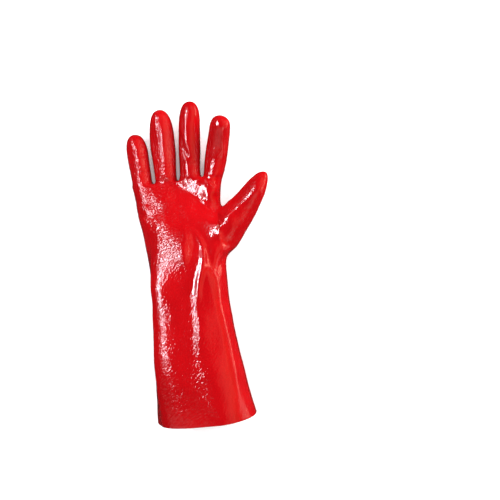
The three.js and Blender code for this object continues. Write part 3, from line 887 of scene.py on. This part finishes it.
def knitted_cotton():
    """Undyed cotton, knitted: soft and matt, in columns of loops that run up the hand"""
    material, tree = new_material("knitted_undyed_cotton")
    place = add_node(tree, "ShaderNodeTexCoord").outputs["UV"]
    # The wave texture repeats once in pi / 10 of its own units
    scale = math.pi / 10 / STITCH
    columns = add_node(
        tree,
        "ShaderNodeTexWave",
        {"Vector": place, "Scale": scale, "Distortion": 0.4},
        bands_direction="X",
    )
    rows = add_node(
        tree,
        "ShaderNodeTexWave",
        {"Vector": place, "Scale": scale, "Distortion": 0.6},
        bands_direction="Y",
    )
    loops = add_node(
        tree,
        "ShaderNodeMath",
        {0: columns.outputs["Fac"], 1: rows.outputs["Fac"]},
        operation="MULTIPLY",
    )
    tint = add_node(tree, "ShaderNodeValToRGB", {"Fac": loops.outputs["Value"]})
    tint.color_ramp.elements[0].color = colour("B9AE9A")
    tint.color_ramp.elements[1].color = colour("EFE8DA")
    raised = add_node(
        tree,
        "ShaderNodeBump",
        {"Height": loops.outputs["Value"], "Strength": 0.8, "Distance": LOOP_RELIEF},
    )
    cloth = add_node(
        tree,
        "ShaderNodeBsdfPrincipled",
        {
            "Base Color": tint.outputs["Color"],
            "Roughness": 0.95,
            "Sheen Weight": 0.3,
            "Normal": raised.outputs["Normal"],
        },
    )
    add_node(tree, "ShaderNodeOutputMaterial", {"Surface": cloth.outputs["BSDF"]})
    return material


def build_glove():
    """The glove as one piece, in place of the plain solid"""
    skin, faces, knit, pebbled = shape_skin()
    points, quads, coat_or_liner, knit = thicken(skin, faces, knit)
    mesh = bpy.data.meshes.new("dipped_glove")
    mesh.from_pydata(points.tolist(), [], quads)
    layer = mesh.uv_layers.new(name="knit")
    layer.data.foreach_set("uv", np.array(knit, np.float32).ravel())
    shares = np.full(len(points), PEBBLED)
    shares[: len(pebbled)] = pebbled
    mesh.attributes.new("pebbled", "FLOAT", "POINT").data.foreach_set("value", shares)
    mesh.materials.append(dipped_pvc())
    mesh.materials.append(knitted_cotton())
    mesh.polygons.foreach_set("material_index", coat_or_liner)
    mesh.polygons.foreach_set("use_smooth", [True] * len(quads))
    mesh.update()
    glove = bpy.data.objects.new("dipped_glove", mesh)
    bpy.context.scene.collection.objects.link(glove)
    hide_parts(NODE)
    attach(glove, "root")
    return glove


# The photograph's view: turned and tilted about a point over the glove
VIEW_TURN = math.radians(7.4)
VIEW_TILT = math.radians(6)
VIEW_TARGET = Vector((0.05342, 0.00760, 0.025))
VIEW_DISTANCE = 0.725

# The lens and the width of the film behind it, in millimetres
LENS = 43.5
FILM_WIDTH = 36


def add_camera():
    """The photograph's view of the glove"""
    right = Vector((math.cos(VIEW_TURN), -math.sin(VIEW_TURN), 0))
    ahead = Vector((math.sin(VIEW_TURN), math.cos(VIEW_TURN), 0))
    back = Vector((0, 0, math.cos(VIEW_TILT))) + ahead * math.sin(VIEW_TILT)
    up = back.cross(right)
    data = bpy.data.cameras.new("camera")
    data.lens = LENS
    data.sensor_width = FILM_WIDTH
    camera = bpy.data.objects.new("camera", data)
    bpy.context.scene.collection.objects.link(camera)
    turn = Matrix((right, up, back)).transposed().to_4x4()
    camera.matrix_world = Matrix.Translation(VIEW_TARGET + back * VIEW_DISTANCE) @ turn
    bpy.context.scene.camera = camera


# Soft boxes: where each stands from the middle of the glove, its width and length, power in watts,
# colour, and whether it shows in the gloss
GLOVE_MIDDLE = Vector((0, 0, 0.02))
SoftBox = namedtuple("SoftBox", "name place size power tint shows")
SOFT_BOXES = [
    # The long highlights down the sleeve and over the heel of the hand
    SoftBox("strip_light", (-0.47, 0.175, 0.84), (0.11, 0.49), 5.0, "EEF4FF", True),
    SoftBox("strip_tail", (-0.47, -0.14, 0.84), (0.11, 0.14), 0.32, "EEF4FF", True),
    SoftBox("strip_glow", (-0.59, 0.12, 0.82), (0.14, 0.66), 0.6, "EEF4FF", True),
    # Weaker ones beyond the fingertips and beyond the cuff, for the slopes of the coat that face them
    SoftBox("palm_light", (-0.45, 0.6, 0.8), (0.34, 0.32), 0.4, "EEF4FF", True),
    SoftBox("tip_light", (-0.25, -0.62, 0.52), (0.6, 0.45), 0.4, "FFE6E0", True),
    SoftBox("front_light", (0.45, -0.9, 0.62), (0.3, 0.5), 0.5, "FFE6DA", True),
    # Even light, unseen in the gloss, that brings out the red
    SoftBox("right_fill", (0.7, 0.55, 0.6), (0.9, 0.9), 12.0, "FFFFFF", False),
    SoftBox("overhead_fill", (0.0, 0.6, 0.85), (1.7, 1.3), 1.4, "FFFFFF", False),
    SoftBox("front_fill", (0.25, -1.1, 0.35), (0.9, 0.4), 6.8, "FFFFFF", False),
    SoftBox("left_fill", (-0.75, 0.6, 0.5), (0.5, 0.5), 4.8, "FFFFFF", False),
    # At the right, warm panels that part the facets of the sleeve, and light from low down
    SoftBox("warm_panel", (0.55, -0.05, 0.8), (0.4, 1.3), 0.5, "FFC0AC", True),
    SoftBox("warm_wall", (0.9, 0.0, 0.75), (0.5, 1.3), 0.7, "FF9C6C", True),
    SoftBox("low_fill", (0.95, 0.6, 0.3), (0.4, 0.8), 8.5, "FFFFFF", False),
    SoftBox("low_wall", (1.1, 0.0, 0.24), (0.4, 1.6), 1.5, "FFE2D8", True),
    SoftBox("warm_strip", (0.95, 0.05, 0.2), (0.05, 0.7), 0.7, "FFC4A0", True),
]


def add_soft_boxes():
    """The soft boxes, each facing the middle of the glove with its length turned along it"""
    for box in SOFT_BOXES:
        data = bpy.data.lights.new(box.name, "AREA")
        data.shape = "RECTANGLE"
        data.size, data.size_y = box.size
        data.energy = box.power
        data.color = colour(box.tint)[:3]
        light = bpy.data.objects.new(box.name, data)
        bpy.context.scene.collection.objects.link(light)
        away = Vector(box.place).normalized()
        across = Vector((0, 1, 0)).cross(away).normalized()
        turn = Matrix((across, away.cross(across), away)).transposed().to_4x4()
        light.matrix_world = Matrix.Translation(GLOVE_MIDDLE + Vector(box.place)) @ turn
        light.visible_glossy = box.shows


# How far the floor reaches, how far it lies below the glove, so that the two stay apart, and its glow
FLOOR_REACH = 0.9
FLOOR_GAP = 0.0003
FLOOR_GLOW = 0.3

# How bright the room's walls are as light on the glove, and as the camera sees them
WALLS_AS_LIGHT = 0.02
WALLS_AS_SEEN = 1.0


def matt_acrylic():
    """White acrylic sheet, sanded matt: an even ground without highlights, lit a little from beneath"""
    material, tree = new_material("matt_white_acrylic")
    white = colour("FAFAFA")
    sheet = add_node(
        tree,
        "ShaderNodeBsdfPrincipled",
        {
            "Base Color": white,
            "Roughness": 0.9,
            "Specular IOR Level": 0.0,
            "Emission Color": white,
            "Emission Strength": FLOOR_GLOW,
        },
    )
    add_node(tree, "ShaderNodeOutputMaterial", {"Surface": sheet.outputs["BSDF"]})
    return material


def add_floor():
    """A pale floor, which lights the glove from below"""
    signs = [(-1, -1), (1, -1), (1, 1), (-1, 1)]
    corners = [(x * FLOOR_REACH, y * FLOOR_REACH, -FLOOR_GAP) for x, y in signs]
    mesh = bpy.data.meshes.new("floor")
    mesh.from_pydata(corners, [], [(0, 1, 2, 3)])
    mesh.materials.append(matt_acrylic())
    floor = bpy.data.objects.new("floor", mesh)
    bpy.context.scene.collection.objects.link(floor)
    # It doesn't show in the gloss, so that the glove's sides mirror a darker room
    floor.visible_glossy = False


def add_room():
    """White walls, which light the glove only faintly beside the soft boxes"""
    world = bpy.data.worlds.new("room")
    world.use_nodes = True
    tree = world.node_tree
    tree.nodes.clear()
    seen = add_node(tree, "ShaderNodeLightPath")
    strength = add_node(
        tree,
        "ShaderNodeMapRange",
        {"Value": seen.outputs["Is Camera Ray"], "To Min": WALLS_AS_LIGHT, "To Max": WALLS_AS_SEEN},
    )
    walls = add_node(
        tree,
        "ShaderNodeBackground",
        {"Color": colour("FFFFFF"), "Strength": strength.outputs["Result"]},
    )
    add_node(tree, "ShaderNodeOutputWorld", {"Surface": walls.outputs["Background"]})
    bpy.context.scene.world = world
    bpy.context.scene.view_settings.view_transform = "Standard"


build_glove()
add_camera()
add_soft_boxes()
add_floor()
add_room()
